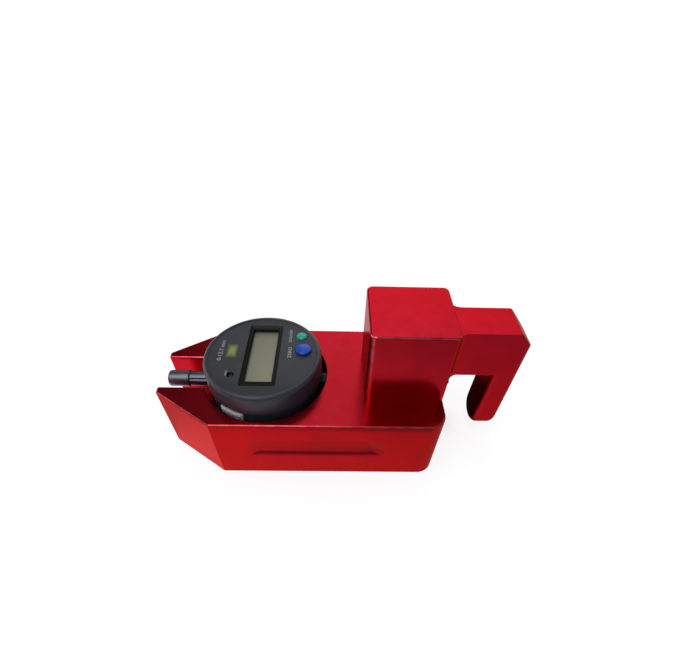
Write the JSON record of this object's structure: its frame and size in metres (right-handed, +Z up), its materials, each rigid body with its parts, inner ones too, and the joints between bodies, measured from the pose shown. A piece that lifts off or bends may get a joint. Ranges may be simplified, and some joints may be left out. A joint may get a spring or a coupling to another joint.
{
  "type": "road marking thickness gauge",
  "caption": "Hand-held gauge with a milled C-shaped body and a digital indicator whose spindle reaches across a throat to a hanging leg, for the thickness of road marking films.",
  "frame": {"origin": "centre of the bounding box, on the base's underside", "axes": "+X along the gauge from the forked end to the hanging leg, +Z up, Y across; the display's text is read from the -Y side"},
  "size_m": [0.182, 0.069, 0.085],
  "materials": {
    "red_aluminium": "red anodised, satin",
    "cover_aluminium": "black anodised, satin",
    "screw_steel": "blackened screw steel",
    "clamp_aluminium": "plain milled",
    "bush_bronze": "sintered bronze",
    "seal_rubber": "matt",
    "case_plastic": "fine satin",
    "face_film": "matt blue-grey film",
    "frame_plastic": "glossy black",
    "window_clear": "clear",
    "display_grey": "grey-olive",
    "strip_rubber": "pink conductive rubber",
    "button_blue": "satin blue",
    "button_green": "satin green",
    "button_dark": "satin black",
    "dome_steel": "bright",
    "board_green": "solder mask",
    "ground_steel": "ground and polished",
    "dark_metal": "black satin",
    "contact_steel": "hard ground",
    "carriage_plastic": "moulded",
    "scale_glass": "clear with fine lines",
    "head_plastic": "moulded",
    "spring_steel": "drawn wire",
    "cell_steel": "bright",
    "tray_plastic": "moulded",
    "battery_cover_metal": "satin silver",
    "contact_brass": "spring brass",
    "plug_rubber": "matt"
  },
  "bodies": {
    "gauge": {"gauge_body": "red_aluminium", "bottom_cover": "cover_aluminium", "bottom_cover_screws": "screw_steel", "stem_clamp_block": "clamp_aluminium", "stem_clamp_screws": "screw_steel", "rod_bush": "bush_bronze", "rod_wiper": "seal_rubber", "front_case": "case_plastic", "face_plate": "face_film", "display_frame": "frame_plastic", "display_window": "window_clear", "display_panel": "display_grey", "display_strips": "strip_rubber", "snap_domes": "dome_steel", "circuit_board": "board_green", "board_screws": "screw_steel", "rear_case": "case_plastic", "case_gasket": "seal_rubber", "back_cover": "cover_aluminium", "back_cover_screws": "screw_steel", "stem": "ground_steel", "stem_bushes": "bush_bronze", "guard_tube": "dark_metal", "read_head": "head_plastic", "guide_rod": "ground_steel", "return_spring": "spring_steel", "battery": "cell_steel", "battery_tray": "tray_plastic", "battery_cover": "battery_cover_metal", "battery_contact": "contact_brass", "data_plug": "plug_rubber"},
    "spindle_line": {"spindle": "ground_steel", "lifting_knob": "dark_metal", "extension_rod": "ground_steel", "contact_point": "contact_steel", "carriage": "carriage_plastic", "scale_strip": "scale_glass"},
    "origin_button": {"origin_button": "button_blue"},
    "power_button": {"power_button": "button_green"},
    "unit_button": {"unit_button": "button_dark"}
  },
  "joints": [
    {"name": "spindle_slide", "type": "slide", "parent": "gauge", "child": "spindle_line", "axis": [-1, 0, 0], "range_m": [0, 0.0127], "stiffness_N_per_m": 50, "springref_m": -0.012, "deforming": ["return_spring"]},
    {"name": "origin_button_press", "type": "slide", "parent": "gauge", "child": "origin_button", "axis": [0, 0, -1], "range_m": [0, 0.0007], "stiffness_N_per_m": 1500},
    {"name": "power_button_press", "type": "slide", "parent": "gauge", "child": "power_button", "axis": [0, 0, -1], "range_m": [0, 0.0007], "stiffness_N_per_m": 1500},
    {"name": "unit_button_press", "type": "slide", "parent": "gauge", "child": "unit_button", "axis": [0, 0, -1], "range_m": [0, 0.0007], "stiffness_N_per_m": 1500}
  ]
}
